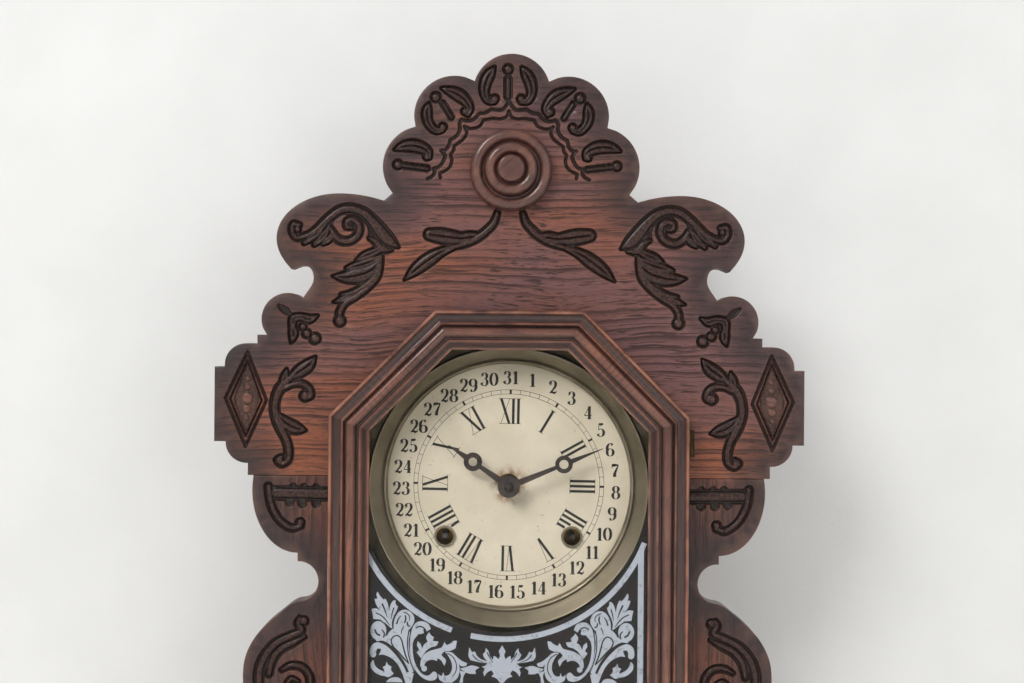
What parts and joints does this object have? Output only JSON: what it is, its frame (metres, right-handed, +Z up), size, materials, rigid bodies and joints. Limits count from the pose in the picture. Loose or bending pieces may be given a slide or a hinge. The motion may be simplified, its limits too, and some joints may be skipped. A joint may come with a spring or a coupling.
{
  "type": "kitchen shelf clock",
  "caption": "Pressed-oak kitchen shelf clock with a scalloped headboard, octagon-top glazed door, calendar dial, pendulum movement and coil gong in a box case.",
  "frame": {"origin": "middle of the bounding box at the level that the clock stands on", "axes": "+Z up, +X to the clock's right as seen from the front, +Y towards the back, so the dial faces -Y"},
  "size_m": [0.357, 0.1288, 0.56],
  "materials": {
    "board_oak": "semi-gloss varnish on pressed oak",
    "door_oak": "semi-gloss varnish on oak moulding",
    "case_wood": "thin dark stain",
    "plain_wood": "unfinished softwood",
    "glass": "clear glass with a black and silver print behind it",
    "bezel_brass": "dull plated brass",
    "dark_brass": "aged brass",
    "brass": "polished brass",
    "steel": "bright steel",
    "hand_steel": "browned steel",
    "tin": "dull tin plate",
    "paper": "aged cream paper"
  },
  "bodies": {
    "case": {"headboard": "board_oak", "wing_left": "board_oak", "wing_right": "board_oak", "base_board": "board_oak", "rosette": "board_oak", "case_side_left": "case_wood", "case_side_right": "case_wood", "case_top": "case_wood", "case_bottom": "case_wood", "case_back": "plain_wood", "dial_strip_left": "plain_wood", "dial_strip_right": "plain_wood", "movement_block_left": "plain_wood", "movement_block_right": "plain_wood", "bezel": "bezel_brass", "grommet_left": "bezel_brass", "grommet_right": "bezel_brass", "hinge_lower_case_leaf": "dark_brass", "hinge_upper_case_leaf": "dark_brass", "front_plate": "brass", "back_plate": "brass", "suspension_cock": "brass", "time_mainspring": "steel", "strike_mainspring": "steel", "gong_coil": "steel", "gong_block": "steel", "dial_pan": "tin", "dial_paper": "paper"},
    "door": {"door_rail_bottom": "door_oak", "door_stile_right": "door_oak", "door_rail_upper_right": "door_oak", "door_rail_top": "door_oak", "door_rail_upper_left": "door_oak", "door_stile_left": "door_oak", "glazing_bead": "door_oak", "door_glass": "glass", "hinge_lower_door_leaf": "dark_brass", "hinge_upper_door_leaf": "dark_brass"},
    "latch": {"latch_knob": "dark_brass"},
    "minute": {"minute_hand": "hand_steel", "minute_arbor": "steel"},
    "hour": {"hour_hand": "hand_steel", "hour_wheel": "brass"},
    "motion": {"motion_wheel": "brass"},
    "third": {"third_wheel": "brass"},
    "centre": {"centre_wheel": "brass"},
    "time_second": {"time_second_wheel": "brass"},
    "time_great": {"time_great_wheel": "brass"},
    "escape": {"escape_wheel": "brass"},
    "pendulum": {"pendulum_rod": "steel", "pendulum_bob": "brass"},
    "verge": {"verge": "steel"},
    "strike_third": {"hammer_wheel": "brass"},
    "strike_second": {"strike_second_wheel": "brass"},
    "strike_great": {"strike_great_wheel": "brass"},
    "fly": {"fly": "steel"},
    "hammer": {"hammer": "steel"},
    "time_winding": {"time_winding_arbor": "steel"},
    "strike_winding": {"strike_winding_arbor": "steel"}
  },
  "joints": [
    {"name": "door_hinge", "type": "hinge", "parent": "case", "child": "door", "pos_m": [0.1096, -0.04165, 0.2], "axis": [0, 0, 1], "range_deg": [0, 100]},
    {"name": "latch_turn", "type": "hinge", "parent": "door", "child": "latch", "pos_m": [-0.0935, 0, 0.15], "axis": [0, -1, 0], "range_deg": [0, 90]},
    {"name": "minute_hand_turn", "type": "hinge", "parent": "case", "child": "minute", "pos_m": [0, 0, 0.297], "axis": [0, 1, 0], "continuous": true},
    {"name": "hour_hand_turn", "type": "hinge", "parent": "case", "child": "hour", "pos_m": [0, 0, 0.297], "axis": [0, 1, 0], "continuous": true},
    {"name": "motion_wheel_turn", "type": "hinge", "parent": "case", "child": "motion", "pos_m": [0.01663, 0, 0.2874], "axis": [0, 1, 0], "continuous": true},
    {"name": "third_wheel_turn", "type": "hinge", "parent": "case", "child": "third", "pos_m": [0.00852, 0, 0.31487], "axis": [0, 1, 0], "continuous": true},
    {"name": "centre_wheel_turn", "type": "hinge", "parent": "case", "child": "centre", "pos_m": [0, 0, 0.297], "axis": [0, 1, 0], "continuous": true},
    {"name": "time_second_turn", "type": "hinge", "parent": "case", "child": "time_second", "pos_m": [0.02325, 0, 0.29105], "axis": [0, 1, 0], "continuous": true},
    {"name": "time_great_turn", "type": "hinge", "parent": "case", "child": "time_great", "pos_m": [0.0393, 0, 0.265], "axis": [0, 1, 0], "continuous": true},
    {"name": "escape_wheel_turn", "type": "hinge", "parent": "case", "child": "escape", "pos_m": [0, 0, 0.329], "axis": [0, 1, 0], "continuous": true},
    {"name": "pendulum_swing", "type": "hinge", "parent": "case", "child": "pendulum", "pos_m": [0, 0, 0.357], "axis": [0, 1, 0], "range_deg": [-3, 3]},
    {"name": "verge_swing", "type": "hinge", "parent": "case", "child": "verge", "pos_m": [0, 0, 0.349], "axis": [0, 1, 0], "range_deg": [-3.6, 3.6]},
    {"name": "hammer_wheel_turn", "type": "hinge", "parent": "case", "child": "strike_third", "pos_m": [-0.03146, 0, 0.31038], "axis": [0, 1, 0], "continuous": true},
    {"name": "strike_second_turn", "type": "hinge", "parent": "case", "child": "strike_second", "pos_m": [-0.02325, 0, 0.29105], "axis": [0, 1, 0], "continuous": true},
    {"name": "strike_great_turn", "type": "hinge", "parent": "case", "child": "strike_great", "pos_m": [-0.0393, 0, 0.265], "axis": [0, 1, 0], "continuous": true},
    {"name": "fly_turn", "type": "hinge", "parent": "case", "child": "fly", "pos_m": [-0.02655, 0, 0.32645], "axis": [0, 1, 0], "continuous": true},
    {"name": "hammer_lift", "type": "hinge", "parent": "case", "child": "hammer", "pos_m": [-0.014, 0, 0.245], "axis": [0, 1, 0], "range_deg": [0, 8]},
    {"name": "time_winding_turn", "type": "hinge", "parent": "case", "child": "time_winding", "pos_m": [0.0393, 0, 0.265], "axis": [0, 1, 0], "continuous": true},
    {"name": "strike_winding_turn", "type": "hinge", "parent": "case", "child": "strike_winding", "pos_m": [-0.0393, 0, 0.265], "axis": [0, 1, 0], "continuous": true}
  ],
  "couplings": [
    {"joint": "motion_wheel_turn", "follows": "minute_hand_turn", "ratio": -0.33333},
    {"joint": "hour_hand_turn", "follows": "minute_hand_turn", "ratio": 0.083333},
    {"joint": "centre_wheel_turn", "follows": "third_wheel_turn", "ratio": -0.1},
    {"joint": "time_second_turn", "follows": "third_wheel_turn", "ratio": 0.02},
    {"joint": "time_great_turn", "follows": "third_wheel_turn", "ratio": -0.0031818},
    {"joint": "escape_wheel_turn", "follows": "third_wheel_turn", "ratio": -10},
    {"joint": "verge_swing", "follows": "pendulum_swing", "ratio": 1.129},
    {"joint": "strike_second_turn", "follows": "hammer_wheel_turn", "ratio": -0.23529},
    {"joint": "strike_great_turn", "follows": "hammer_wheel_turn", "ratio": 0.037433},
    {"joint": "fly_turn", "follows": "hammer_wheel_turn", "ratio": -7}
  ]
}
